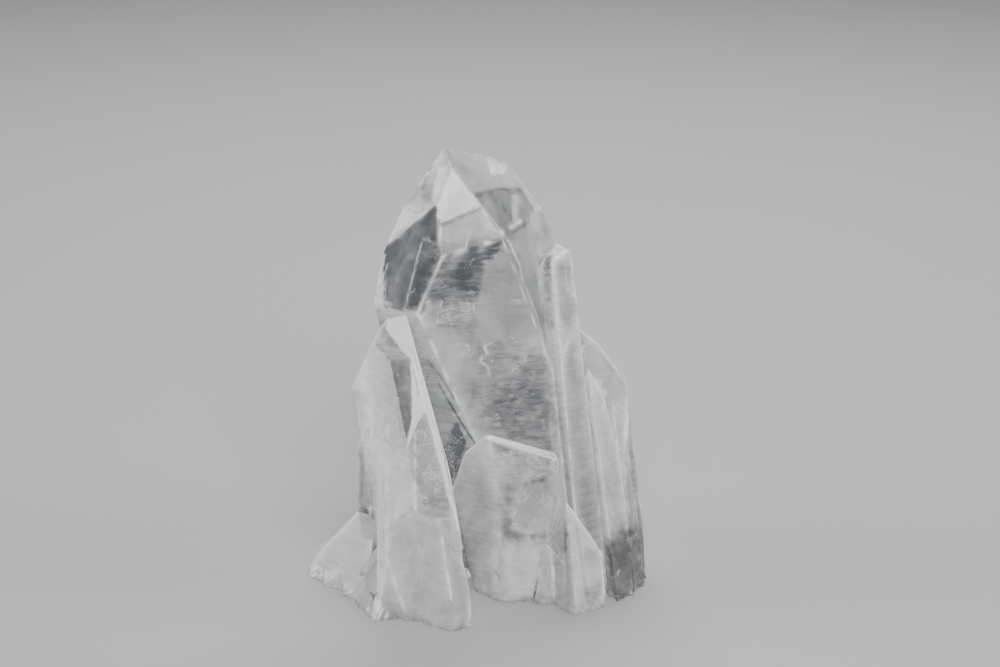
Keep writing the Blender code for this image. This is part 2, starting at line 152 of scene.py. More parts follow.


# Marks on the crystals. Each moves the named channels towards its values: milk (0 clear, 1 cloudy),
# white (scratching and crushing, and painted highlights), frost (speckled), streak (growth lines) and dent
# (broken out, mm).
MARKS = {
    "main_point": [
        # front tip face: a bright upper pane (a painted reflection, set as milk) over a greyer one, with a
        # dark step between
        patch(5, [(-7, 113), (1.5, 103), (-8.5, 99.5)], 0.12, milk=0.72, streak=0.0),
        patch(5, [(-8.5, 99.5), (1.5, 103), (8, 95), (-9, 91)], 0.12, milk=0.3, streak=0.0),
        band([(-8, 99), (-4, 100.5), (1, 102.5)], 0.45, milk=0.0, white=0.0),
        band([(-1.5, 97.5), (-2.5, 93.5)], 0.16, white=0.8),
        patch(5, [(1, 101.5), (7.5, 95.5), (1.5, 94.5)], 0.8, white=0.12, frost=0.9),
        # clear streaks under the tip, then the frosted ridge down the right
        patch(10, [(-9, 91.5), (6.5, 95.5), (10, 93), (2.5, 90), (-9, 87.5)], 0.6,
              milk=0.05, streak=1.0, frost=0.5),
        band([(8, 95), (11, 87.5), (15.5, 74.5), (20.5, 57.5)], 1.3, white=0.0),
        band([(8, 94.5), (11, 87.5), (12, 83.5)], 0.5, white=0.9, frost=1.0),
        band([(12, 83.5), (15.5, 74.5), (17.5, 66), (20.5, 57.5)], 0.32, white=0.75, frost=0.8),
        # left tip face: chipped ridge, pale lower part, dented outline
        patch(-38, [(-9.5, 111.5), (-7, 112), (-8, 100.5), (-8.5, 94), (-9.5, 103), (-11, 104),
                   (-10.5, 107.5)], 0.5,
              milk=0.75, frost=1.0, white=0.15),
        band([(-8.5, 111), (-8.5, 108), (-9, 106.5)], 0.3, white=0.8, frost=1.0),
        band([(-10.5, 105.5), (-10.5, 104), (-9.5, 103)], 0.3, white=0.6, frost=1.0),
        patch(-38, [(-19, 100.5), (-13.5, 101.5), (-17, 97.5), (-23, 91.5)], 0.3, milk=0.62),
        band([(-19, 99.5), (-13.5, 101.5), (-10, 103.5)], 0.25, white=0.35),
        patch(-38, [(-13.5, 101.5), (-14, 107), (-10.5, 108), (-11, 104)], 0.8, milk=0.3),
        band([(-19, 100.5), (-18.5, 102), (-17.5, 103)], 0.3, white=0.5),
        band([(-15, 106.5), (-14, 107.5), (-13.5, 107)], 0.3, white=0.5),
        patch(-38, [(-17.5, 104), (-14, 107.5), (-11.5, 111), (-12.5, 107.5), (-16, 103.5),
                   (-18.5, 101)], 0.25,
              dent=0.45),
        # left prism face: clear, darkest to the right, with long scratches
        patch(-21, [(-23, 91.5), (-10, 103), (-8.5, 91.5), (-14, 77.5), (-23.5, 78)], 0.2,
              milk=0.1, streak=0.15, frost=0.1),
        patch(-21, [(-12.5, 98.5), (-9, 100.5), (-8.5, 91.5), (-14, 77.5), (-17, 78), (-15.5, 85.5)], 0.4,
              milk=0.05, frost=0.5, streak=0.4),
        patch(-21, [(-23.5, 91), (-23, 90.5), (-23.5, 77.5), (-26.5, 77.5), (-26, 88)], 0.2, milk=0.8),
        band([(-22.5, 92), (-16.5, 97), (-10, 102.5)], 0.65, milk=0.0, white=0.0, streak=1.0),
        band([(-13.5, 94.5), (-16, 85.5), (-18, 78)], 0.2, white=0.95),
        band([(-14.5, 92), (-16.5, 84), (-17.5, 79.5)], 0.14, white=0.5),
        band([(-22.5, 88.5), (-23, 78.5)], 0.16, white=0.6),
        # broad front: an older, paler point shows inside, clear to its left and below it
        patch(10, [(-11.5, 88.5), (-9, 91.5), (2.5, 93.5), (2, 87.5), (0.5, 79.5), (-6.5, 78.5),
                   (-13.5, 81.5)], 1.6,
              milk=0.18, streak=0.6, frost=0.35),
        patch(10, [(-11.5, 77.5), (-6.5, 80), (0, 79), (-0.5, 72.5), (-9, 74)], 2.0,
              milk=0.32, streak=0.8, frost=0.8),
        patch(10, [(-14.5, 77), (-10.5, 73.5), (-0.5, 68), (0, 59.5), (-5.5, 55), (-11.5, 67)], 3.0,
              milk=0.5, streak=0.15),
        patch(10, [(2.5, 89.5), (7.5, 94.5), (12, 84.5), (17, 67.5), (4.5, 69.5), (-0.5, 68.5),
                   (0.5, 79)], 0.8,
              milk=0.42, streak=0.2, frost=0.3),
        patch(10, [(10, 65), (16.5, 66.5), (17.5, 61), (12, 62)], 1.5, milk=0.3, streak=0.8, frost=0.5),
        patch(10, [(1, 54), (6.5, 61), (13.5, 64), (17, 63.5), (19.5, 57), (19.5, 40), (5.5, 46),
                   (2.5, 50)], 3.0,
              milk=0.26, streak=0.45, frost=0.3),
        patch(10, [(19.5, 35), (22, 35), (22, 21), (18, 16.5), (17, 21)], 1.0, milk=0.6, white=0.0),
        band([(5, 69), (2, 68.5), (3, 66.5), (1, 64.5)], 0.36, white=1.0, frost=0.5),
        band([(1.5, 64), (3, 63), (3.5, 60.5)], 0.2, white=0.8),
        band([(-13.5, 80.5), (-8.5, 80.5), (-9, 78.5), (-7, 77.5)], 0.14, white=0.4),
        # undercut side by the companion: a dark line and a dark frosted triangle
        band([(-9.5, 58.5), (-3.5, 48), (0, 42.5)], 0.3, milk=0.0, white=0.0),
        patch(-25, [(-5, 49), (-2.5, 43), (-7, 28), (-9.5, 35.5)], 0.3, milk=0.04, frost=0.9, white=0.0),
        band([(-12.5, 65), (-9, 61), (-5.5, 55)], 0.25, milk=0.1, white=0.0),
        # right tip face: crushed chip, dark step, clear pane with a bright slip
        patch(71, [(-8, 115.5), (3.5, 109), (8.5, 105), (11.5, 100), (0, 105.5), (-6.5, 112.5)], 0.8,
              milk=0.5),
        patch(71, [(-6, 112.5), (2.5, 106.5), (1, 105.5), (-2.5, 108.5)], 1.5, milk=0.4, frost=0.2),
        patch(71, [(2.5, 109), (7.5, 105.5), (7, 104.5), (4, 106)], 1.1, white=0.4, frost=1.0, dent=0.5),
        band([(3, 108.5), (4, 107.5), (5, 107.5)], 0.14, white=0.9),
        band([(3.5, 107), (5, 106.5), (6.5, 105.5)], 0.14, white=0.9),
        band([(5.5, 107), (6.5, 106), (6.5, 105)], 0.14, white=0.9),
        patch(71, [(0, 105), (11.5, 100), (15.5, 95), (14, 94.5), (7.5, 95.5)], 0.25, milk=0.25, streak=0.1),
        patch(71, [(9, 100.5), (11, 99.5), (10.5, 95.5), (9.5, 95.5)], 0.2, milk=0.55),
        band([(0, 105), (5.5, 103), (11.5, 100)], 0.9, milk=0.12, white=0.0),
        band([(12.5, 99.5), (15.5, 95)], 0.25, white=0.7),
        band([(8, 94.5), (11, 94.5), (14, 94)], 0.5, milk=0.12, white=0.0, frost=0.3),
        patch(71, [(16, 95), (20.5, 88.5), (16.5, 91), (14, 94.5)], 0.5, milk=0.55),
        patch(69, [(8, 94), (14, 93.5), (16.5, 87), (14, 82.5), (10, 89)], 1.0, milk=0.42),
        patch(69, [(16.5, 90.5), (20.5, 85.5), (15.5, 85.5), (15.5, 80.5), (14, 86.5)], 1.2, milk=0.5),
    ],
    "left_companion": [
        # white tip, streaked roof, clear window and the bright slip beside it; the white tip and the bright
        # slip are painted highlights
        patch(-23, [(-22, 77.5), (-17, 76), (-16.5, 69), (-19.5, 70), (-23, 75)], 0.2, milk=1.0, white=0.45),
        patch(-36, [(-25.5, 70), (-23, 74.5), (-19.5, 71.5), (-16.5, 68.5), (-21.5, 66.5), (-23.5, 68)], 0.25,
              milk=0.5, streak=0.7, frost=0.2, white=0.0),
        patch(-36, [(-21.5, 66.5), (-16.5, 69), (-15.5, 63.5), (-15, 56), (-17.5, 48.5), (-20.5, 62)], 0.14,
              milk=0.24, white=0.0, frost=0.4, streak=0.25),
        patch(-36, [(-16.5, 69), (-15.5, 66), (-13.5, 64), (-13.5, 57), (-15, 52.5), (-17.5, 45.5),
                   (-16, 53.5),
                    (-16, 63)], 0.14, milk=1.0, white=0.8),
        # rough right face, and the ridge with its dark line
        patch(3, [(-15, 53), (-12.5, 56), (-9, 42), (-6.5, 31), (-14.5, 32.5), (-17, 46)], 0.4,
              milk=0.42, frost=1.0, streak=0.2),
        band([(-17, 76), (-16, 72.5), (-12.5, 58.5)], 0.55, white=0.85),
        band([(-14, 63.5), (-11.5, 52.5), (-8.5, 40.5), (-6.5, 34.5), (-5, 25)], 0.3, white=0.8),
        band([(-12.5, 62.5), (-9.5, 51), (-7, 39.5), (-5.5, 33), (-3.5, 20)], 0.16, milk=0.1, white=0.0),
        band([(-16.5, 68.5), (-15, 64.5), (-14, 59)], 0.2, milk=0.15, white=0.0),
        band([(-21, 51), (-22, 47), (-22.5, 43)], 0.25, white=0.45),
        patch(-43, [(-31.5, 57.5), (-26, 57), (-25, 48.5), (-29.5, 46)], 2.5, milk=0.86),
    ],
    "left_window": [
        # frosted pane with a dark slit along its right
        patch(-34, [(-28.5, 45.5), (-25, 46.5), (-25, 29.5), (-29, 28)], 0.3, milk=0.4, frost=1.0, white=0.1),
        band([(-25.5, 45.5), (-25.5, 33)], 0.3, milk=0.0, white=0.0),
        band([(-28, 44.5), (-28, 37.5), (-26, 33.5)], 0.35, white=0.9),
        band([(-28, 28), (-27, 27.5), (-25.5, 29.5)], 0.35, white=0.9),
    ],
    "left_pale": [
        patch(5, [(-22.5, 48), (-19, 52), (-17, 44), (-16.5, 29.5), (-22.5, 28.5)], 1.2, milk=0.6, white=0.0),
        patch(5, [(-22, 33), (-17.5, 34), (-16.5, 31), (-20.5, 29.5)], 1.2, frost=1.0, milk=0.6),
        band([(-23.5, 39.5), (-23.5, 34), (-22.5, 27)], 0.25, white=0.5),
    ],
    "left_flare": [
        band([(-37.5, 3.5), (-37, 3)], 0.3, white=1.0),
        band([(-43.5, 6), (-41, 8), (-39.5, 9.5)], 0.3, white=0.5, frost=0.6),
        band([(-31, 20), (-37.5, 12), (-42.5, 7)], 0.3, white=0.6),
    ],
    "fan_outer": [
        # two pale ribs with a dark furrow, and a small dark break near the foot
        band([(-21.5, 19), (-27, 12.5), (-33, 2.5)], 0.35, white=0.5),
        band([(-24, 16.5), (-30, 8), (-34.5, 1)], 0.4, white=0.7),
        band([(-23, 16), (-28, 8), (-32.5, 1)], 0.3, milk=0.4, white=0.0),
        patch(-55, [(-31, 7), (-28.5, 8), (-29, 7), (-30.5, 6.5)], 0.4, milk=0.3, frost=0.5),
        band([(-27.5, 4.5), (-26.5, 4.5), (-26.5, 3.5)], 0.3, milk=0.1, white=0.0),
        band([(-26.5, 4.5), (-25, 6)], 0.25, milk=0.0, white=0.0),
    ],
    "fan_middle": [
        band([(-19, 21.5), (-19.5, 13), (-21.5, 1)], 0.3, white=0.55),
        band([(-19.5, 14.5), (-20, 10), (-19.5, 3)], 0.4, white=0.75),
        patch(-32, [(-17.5, 21.5), (-13.5, 21), (-14.5, 17.5), (-17, 16.5)], 0.8, frost=1.0, white=0.2),
    ],
    "fan_inner": [
        band([(-6.5, 20), (-6, 19)], 0.3, white=0.9),
        band([(-12, 24.5), (-11.5, 24)], 0.2, white=0.7),
        band([(-13.5, 18.5), (-14.5, 9), (-18.5, 1)], 0.3, white=0.4),
        band([(-13, 24), (-16.5, 11.5), (-18.5, 1.5)], 0.4, white=0.75),
        patch(-31, [(-9, 7), (-3, 10), (-2, 4), (-5, 0.5), (-9, 2)], 2.5, milk=0.5, streak=0.3),
        band([(-2, 6.5), (-1.5, 2.5), (-2.5, 0)], 0.4, white=0.6, frost=1.0),
    ],
    "front_block": [
        # bright bevel (a painted highlight on the face that looks up), a fractured upper half with fine
        # cracks, a milky foot, a softened ridge
        band([(3, 46), (11.5, 43), (20, 40.5)], 0.7, white=1.0),
        patch(0, [(8, 27.5), (10, 33), (16.5, 34.5), (21, 38), (22, 32.5), (19, 23.5), (15.5, 19),
                   (9, 20)], 2.0,
              milk=0.45, frost=0.9, streak=0.2),
        patch(0, [(3.5, 41.5), (20, 40.5), (21.5, 38), (16.5, 34.5), (9.5, 32.5), (3.5, 34.5)], 1.2,
              milk=0.5, frost=0.9, streak=0.5),
        patch(0, [(7.5, 17), (17.5, 16.5), (18, 0), (-0.5, 0), (1, 12)], 4.5, milk=0.85, frost=0.2),
        band([(4, 43), (5, 32), (6, 18), (7.5, 1)], 1.1, white=0.0, milk=0.62),
        patch(-32, [(-3, 40), (1, 40.5), (-0.5, 24.5), (-3.5, 17.5), (-6, 26)], 1.2, milk=0.6),
        band([(3.5, 8.5), (5.5, 8), (6, 6)], 0.25, milk=0.3, white=0.0),
        band([(22, 35.5), (21.5, 29), (18.5, 17)], 0.5, white=0.7),
        band([(11.5, 38.5), (14, 33), (14.5, 31.5)], 0.2, white=0.34),
        band([(14.5, 31.5), (16.5, 28.5), (19, 27.5)], 0.14, white=0.5),
        band([(10, 29.5), (12.5, 28.5), (14.5, 31.5)], 0.2, white=0.34),
        band([(8.5, 21.5), (12, 20), (16.5, 20.5)], 0.4, white=0.34),
        band([(1, 43), (1.5, 45), (3, 46)], 0.2, white=0.5),
    ],
    "front_right_chip": [band([(18.5, 9.5), (19, 3)], 0.25, white=0.5)],
    "front_right_wedge": [
        band([(23.5, 25), (24.5, 13), (25.5, 2)], 0.9, white=0.0, milk=0.6),
        band([(28, 17), (32.5, 12), (33.5, 2)], 0.35, white=0.8),
        patch(39, [(28, 5), (32.5, 6.5), (32, 1), (28.5, 1.5)], 1.0, milk=0.35, streak=0.5, frost=0.5),
        patch(-48, [(19, 16.5), (23.5, 23.5), (23, 15), (20.5, 13)], 0.8, milk=0.3, frost=0.3),
        band([(18.5, 15), (21.5, 12.5), (23, 12)], 0.25, white=0.6),
        band([(21.5, 22.5), (20, 14), (20.5, 4)], 0.4, milk=0.3, white=0.0),
    ],
    "right_slender": [
        # speckled clear strip on the left, pale rims round the tip
        patch(-45, [(17, 89.5), (19, 91), (19, 79), (17.5, 78.5)], 0.3, milk=0.26, frost=0.9, white=0.0),
        band([(15.5, 83), (15.5, 86), (16, 89), (20, 91.5)], 0.3, white=0.85),
        band([(19.5, 90.5), (20, 82), (20.5, 74.5)], 0.8, white=0.8),
        patch(-45, [(18, 73), (20, 73.5), (20, 71.5), (18, 71)], 0.4, milk=0.2, frost=1.0),
        band([(17, 77), (17, 73), (17.5, 68.5)], 0.2, milk=0.1, white=0.0),
        band([(22.5, 90.5), (23, 81.5)], 0.3, white=0.4),
    ],
    "right_rib_inner": [
        band([(27, 53.5), (29, 50), (30.5, 42), (31.5, 32.5), (35.5, 21.5)], 0.45, white=0.7),
        band([(30, 52.5), (31.5, 43.5), (33, 33), (36, 22.5)], 0.3, milk=0.5, white=0.0),
    ],
    "right_rib_outer": [
        band([(31.5, 49.5), (32, 48), (33, 45.5)], 0.35, milk=0.0, white=0.0),
        band([(33.5, 50), (33.5, 47), (34.5, 42.5)], 0.45, white=0.9),
        band([(33.5, 50), (36, 39.5), (39, 26.5), (40, 20.5)], 0.4, white=0.6),
        band([(38, 27), (38.5, 25), (39.5, 22), (40, 19.5)], 0.3, white=0.9),
        band([(36, 18), (37, 18)], 0.45, white=0.9),
    ],
    "right_broad": [
        patch(43, [(36.5, 10), (43, 13), (45, 9.5), (45.5, 0), (36.5, -0.5)], 1.5,
              milk=0.2, frost=0.9, white=0.0),
        band([(36.5, 8.5), (38.5, 6.5), (39.5, 8)], 0.2, white=0.8),
        band([(43, 4.5), (44, 2.5), (43.5, 2)], 0.2, white=0.8),
        band([(27, 66.5), (28, 61), (30.5, 57), (33, 52.5)], 0.5, milk=0.3, frost=1.0),
        band([(35.5, 60), (38.5, 54.5), (40.5, 48.5)], 0.4, white=0.5),
        patch(19, [(28, 55), (33, 54.5), (33.5, 50.5), (29.5, 51.5)], 1.5, milk=0.8),
    ],
}

# The right foot is clear and grey: the same soft patch on every front facet that reaches it.
RIGHT_FOOT = {"right_rib_inner": (43, -57), "right_rib_outer": (61, -35), "right_broad": (43, 19)}
for node, turns in RIGHT_FOOT.items():
    MARKS[node] += [patch(turn, [(33.5, 13), (38, 17), (46, 16), (46, 0), (33.5, 0)], 9.0,
                          milk=0.16, frost=0.5, white=0.0, streak=0.1) for turn in turns]


class QuartzSettings(PropertyGroup):
    """Sizes and colours of the crystals."""
    grain: FloatProperty(name="Mesh step", description="Distance between points along a facet's edge",
                         default=0.5 * MM, min=0.3 * MM, max=4.0 * MM, unit="LENGTH")
    edge_radius: FloatProperty(name="Edge radius", description="Softness of the edges between facets",
                               default=0.16 * MM, min=0.02 * MM, max=1.0 * MM, unit="LENGTH")
    chip_depth: FloatProperty(name="Chip depth", description="How much deeper a chipped edge is cut",
                              default=2.2, min=0.0, max=6.0)
    growth_relief: FloatProperty(name="Growth relief", description="Height of the growth steps",
                                 default=0.035 * MM, min=0.0, max=0.5 * MM, unit="LENGTH")
    foot_relief: FloatProperty(name="Foot relief", description="Depth of the breaks round the foot",
                               default=0.55 * MM, min=0.0, max=3.0 * MM, unit="LENGTH")
    # painted shade: clear quartz is tinted dark grey so that its clear windows look dark
    clear_shade_colour: FloatVectorProperty(name="Clear colour", description="Colour deep inside clear quartz",
                                      default=(0.125, 0.13, 0.142), size=3, subtype="COLOR")
    veiled_colour: FloatVectorProperty(name="Veiled colour", description="Colour inside hazy quartz",
                                       default=(0.80, 0.81, 0.82), size=3, subtype="COLOR")
    milk_colour: FloatVectorProperty(name="Milk colour", description="Colour of cloudy quartz",
                                     default=(0.90, 0.905, 0.905), size=3, subtype="COLOR")


class StageSettings(PropertyGroup):
    """Camera, floor and lamps."""
    lens: FloatProperty(name="Lens", description="Focal length on a 36 mm wide sensor, in millimetres",
                        default=85.0, min=20.0, max=200.0)
    elevation: FloatProperty(name="Elevation", description="Camera height above level",
                             default=math.radians(22.0), subtype="ANGLE")
    distance: FloatProperty(name="Distance", description="Camera to the point it looks at",
                            default=0.617, unit="LENGTH")
    floor_colour: FloatVectorProperty(name="Floor colour", description="Colour of the plain floor",
                                      default=(0.44, 0.44, 0.445), size=3, subtype="COLOR")
    lamp_power: FloatProperty(name="Lamp power", description="Power of the key lamp in watts",
                              default=7.0, min=0.0)


# ---------------------------------------------------------------- crystal surfaces

def ripple(points, wavelength, seed, waves=14):
    """Smooth noise between about -1 and 1: the sum of sine waves that run in seeded random directions."""
    rng = np.random.default_rng(seed)
    ways = rng.normal(size=(3, waves))
    ways *= 2.0 * math.pi / (wavelength * np.linalg.norm(ways, axis=0))
    ways *= rng.uniform(0.6, 1.6, waves)
    return np.sin(points @ ways + rng.uniform(0.0, 2.0 * math.pi, waves)).sum(axis=1) / math.sqrt(waves)


def face_planes(heart, faces):
    """Unit direction and distance from the origin of each face, with the ground plane as the last."""
    table = np.array(faces, float)
    turn, lean = np.radians(table[:, 0]), np.radians(table[:, 1])
    directions = np.stack([np.sin(turn) * np.cos(lean), -np.cos(turn) * np.cos(lean), np.sin(lean)], axis=1)
    distances = directions @ np.array(heart, float) + table[:, 2]
    return np.vstack([directions, [0.0, 0.0, -1.0]]), np.append(distances, 0.0)


def corners_inside(directions, distances):
    """Every point where three planes meet and that no other plane cuts off."""
    triples = np.array(list(itertools.combinations(range(len(directions)), 3)))
    sound = np.abs(np.linalg.det(directions[triples])) > CLOSE
    triples = triples[sound]
    points = np.linalg.solve(directions[triples], distances[triples][..., None])[..., 0]
    kept = points[(points @ directions.T <= distances + CLOSE * 10).all(axis=1)]
    return np.unique(np.round(kept, 5), axis=0)


def facet_outline(corners, direction, step):
    """The rim of one facet: its corners in turning order, with even steps along each edge."""
    centre = corners.mean(axis=0)
    spokes = corners - centre
    side = np.cross(direction, spokes[0])
    ring = corners[np.argsort(np.arctan2(spokes @ side, spokes @ spokes[0] * np.linalg.norm(side)
                                         / np.linalg.norm(spokes[0])))]
    stretches = []
    for start, end in zip(ring, np.roll(ring, -1, axis=0)):
        count = max(1, math.ceil(np.linalg.norm(end - start) / step))
        stretches.append(start + (end - start) * (np.arange(count) / count)[:, None])
    return np.concatenate(stretches)


def facet_levels(radius, step, direction):
    """Steps from a facet's centre (0) to its rim (1), close together beside the rim.

    They are wider apart on the back faces and the underside.
    """
    fine = np.array(RIM_ROWS) / radius
    rim = 1.0 - fine[fine < 0.5]
    apart = step * (1.2 if direction[1] < 0.1 and direction[2] > -0.9 else 3.0)
    inner = np.linspace(0.0, rim[0], max(4, math.ceil(radius / apart)))[1:-1]
    return np.concatenate([inner, rim])


def facet_grid(corners, direction, step):
    """A facet as a polar grid: point(s, t) = centre + t * (rim(s) - centre). Points, quads and triangles."""
    rim = facet_outline(corners, direction, step)
    centre = rim.mean(axis=0)
    levels = facet_levels(np.linalg.norm(rim - centre, axis=1).mean(), step, direction)
    grid = centre + levels[:, None, None] * (rim - centre)
    rows, columns = len(levels), len(rim)
    index = np.arange(rows * columns).reshape(rows, columns)
    beside = np.roll(index, -1, axis=1)
    quads = np.stack([index[:-1], index[1:], beside[1:], beside[:-1]], axis=-1).reshape(-1, 4)
    hub = np.full(columns, rows * columns)
    fan = np.stack([hub, index[0], beside[0]], axis=-1)
    return np.vstack([grid.reshape(-1, 3), centre]), quads, fan


def crystal_points(directions, distances, step):
    """All facets of a crystal sewn together: points, quads and triangles."""
    corners = corners_inside(directions, distances)
    points, quads, fans, offset = [], [], [], 0
    for direction, distance in zip(directions, distances):
        own = corners[np.abs(corners @ direction - distance) < ON_PLANE]
        if len(own) < 3:
            continue
        grid, grid_quads, grid_fan = facet_grid(own, direction, step)
        points.append(grid)
        quads.append(grid_quads + offset)
        fans.append(grid_fan + offset)
        offset += len(grid)
    points = np.concatenate(points)
    keys = np.round(points * 1e4).astype(np.int64)
    _, first, sewn = np.unique(keys, axis=0, return_index=True, return_inverse=True)
    sewn = sewn.reshape(-1)
    return points[first], sewn[np.concatenate(quads)], sewn[np.concatenate(fans)]


def weather(points, directions, distances, milkiness, settings, seed):
    """Turn ideal facets into grown and broken ones.

    Edges: where several planes are near, the point moves in along their blended direction by
    radius * log(sum(exp(-gap / radius))), and further where a slow noise says the edge is chipped.
    Facets: each point moves along its own facet's direction by stepped waves along the growth axis and a
    slow swell, most on milky upright faces and not at all at an edge.
    Foot: points below the break height shift sideways by noise that grows towards the ground, and the
    underside rises a little behind its rim.
    Returns the points, and how near each is to an exposed edge, sharply and softly (1 on it): the sharp one
    places the white edge, a painted highlight with some crushing, the soft one the painted rim glow. An edge
    is exposed where both its faces look up more than UNDERCUT, fading out towards the ground.
    """
    gaps = distances - points @ directions.T
    own = np.argmin(gaps, axis=1)
    beside = np.partition(gaps, 1, axis=1)[:, 1]
    radius = settings.edge_radius / MM
    chipped = np.clip(ripple(points, 7.0, seed) - 0.9, 0.0, 1.0) * settings.chip_depth
    low = np.clip(1.0 - points[:, 2] / 7.0, 0.0, 1.0)
    reach = (radius * (1.0 + chipped) + 0.3 * low)[:, None]
    pull = np.exp(-gaps / reach)
    total = pull.sum(axis=1, keepdims=True)
    rounded = points - (pull @ directions / total) * reach * np.log(total)
    calm = np.clip(beside / 1.5, 0.0, 1.0)
    calm = calm * calm * (3.0 - 2.0 * calm)
    height = points @ np.array(GROWTH_AXIS) + 0.5 * ripple(points, 14.0, seed + 1)
    steps = np.sin(height * 2.1) + 0.6 * np.sin(height * 3.7 + 1.0) + 0.5 * np.sign(np.sin(height * 1.1))
    swell = 1.6 * ripple(points, 22.0, seed + 2)
    patchy = np.clip(0.5 + ripple(points, 16.0, seed + 3), 0.0, 1.0)
    relief = settings.growth_relief / MM * (steps * patchy + swell) * calm
    upright = np.clip(1.6 - 3.6 * np.abs(directions[own, 2]), 0.15, 1.0)
    relief *= np.clip(np.append(milkiness, 0.0)[own], 0.15, 1.0) * upright
    shaped = rounded + directions[own] * relief[:, None]
    shift = settings.foot_relief / MM * np.clip(1.0 - points[:, 2] / BREAK_HEIGHT, 0.0, 1.0) ** 1.5
    shaped[:, 0] += shift * (ripple(points, 9.0, seed + 4) + 0.55 * ripple(points, 2.0, seed + 5))
    shaped[:, 1] += shift * (ripple(points, 9.0, seed + 6) + 0.55 * ripple(points, 2.0, seed + 7))
    under = own == len(directions) - 1
    hollow = 0.35 * np.clip(beside, 0.0, 1.0) * (1.0 + ripple(points, 5.0, seed + 8))
    shaped[:, 2] += np.where(under, hollow, 0.0)
    shaped[:, 2] = np.maximum(shaped[:, 2], 0.0)
    nearest = np.argsort(gaps, axis=1)[:, :2]
    # painted light: only edges whose two faces look up, away from the ground, take the white edge highlight
    # and the rim glow
    exposed = (directions[nearest, 2] > UNDERCUT).all(axis=1) * np.clip(points[:, 2] / 3.0 - 0.2, 0.0, 1.0)
    return shaped, np.exp(-(beside / 0.24) ** 2) * exposed, np.exp(-beside / 1.4) * exposed


def new_piece(name, points, polygons, material):
    """A mesh object at the origin from points in millimetres."""
    mesh = bpy.data.meshes.new(name)
    mesh.from_pydata((points * MM).tolist(), [], polygons)
    mesh.materials.append(material)
    mesh.polygons.foreach_set("use_smooth", np.ones(len(mesh.polygons), bool))
    mesh.validate()
    mesh.update()
    piece = bpy.data.objects.new(name, mesh)
    bpy.context.scene.collection.objects.link(piece)
    return piece


def store(mesh, name, values):
    """Write one number per point into a named attribute."""
    attribute = mesh.attributes.new(name, "FLOAT", "POINT")
    attribute.data.foreach_set("value", np.asarray(values, np.float32))


def segment_gap(points, start, end):
    """Distance from every point to the stretch between start and end."""
    along = end - start
    share = np.clip((points - start) @ along / max(along @ along, CLOSE), 0.0, 1.0)
    return np.linalg.norm(points - start - share[:, None] * along, axis=1)


def line_cover(points, spine, width, wander):
    """Strength of a band along a spine: exp(-(distance / width) ** 2), uneven along its length."""
    gap = np.min([segment_gap(points, *ends) for ends in zip(spine[:-1], spine[1:])], axis=0)
    return np.exp(-(gap / width) ** 2) * np.clip(0.9 + 0.25 * wander, 0.0, 1.0)


def area_cover(points, outline, softness, wander):
    """Strength of a flat patch: a smooth step of the signed distance to its outline, with a wavy rim.

    It fades out between 1.2 and 2.4 mm off the patch's plane.
    """
    middle = outline.mean(axis=0)
    across = np.linalg.svd(outline - middle)[2]
    flat, rim = (points - middle) @ across[:2].T, (outline - middle) @ across[:2].T
    after = np.roll(rim, -1, axis=0)
    gap = np.min([segment_gap(flat, *ends) for ends in zip(rim, after)], axis=0)
    over = (rim[:, 1] > flat[:, 1:]) != (after[:, 1] > flat[:, 1:])
    rise = np.where(after[:, 1] == rim[:, 1], CLOSE, after[:, 1] - rim[:, 1])
    crossing = rim[:, 0] + (flat[:, 1:] - rim[:, 1]) / rise * (after[:, 0] - rim[:, 0])
    inside = ((over & (flat[:, :1] < crossing)).sum(axis=1) % 2).astype(bool)
    signed = np.where(inside, gap, -gap) + 0.45 * min(softness, 1.3) * wander
    step = np.clip(signed / (1.2 * softness) + 0.5, 0.0, 1.0)
    depth = np.abs((points - middle) @ across[2])
    return step * step * (3.0 - 2.0 * step) * np.clip(2.0 - depth / 1.2, 0.0, 1.0)


def placed(mark, turns, directions, distances):
    """A mark's points (x, z) put on the crystal: y = (x * across + z * up - distance) / -forward.

    A patch takes the plane of its own facet, a band the hindmost of the front facets' planes at each point.
    """
    shape, turn, _, _, outline = mark
    flat = np.array(outline, float)
    kept = turns == turn if shape == "patch" else directions[:, 1] < FRONT
    y = (flat @ directions[kept][:, [0, 2]].T - distances[kept]) / -directions[kept, 1]
    return np.stack([flat[:, 0], y.max(axis=1), flat[:, 1]], axis=1)


def paint(node, points, channels, turns, directions, distances, seed):
    """Move the channels towards each mark's values where the mark covers the crystal."""
    wander = ripple(points, 2.2, seed + 20)
    for mark in MARKS.get(node, []):
        shape, _, values, size, _ = mark
        outline = placed(mark, turns, directions, distances)
        cover = (area_cover if shape == "patch" else line_cover)(points, outline, size, wander)
        if shape == "band" and values.get("white"):
            cover = cover * PAINTED_SHARE
        for name, value in values.items():
            channels[name] += (value - channels[name]) * cover


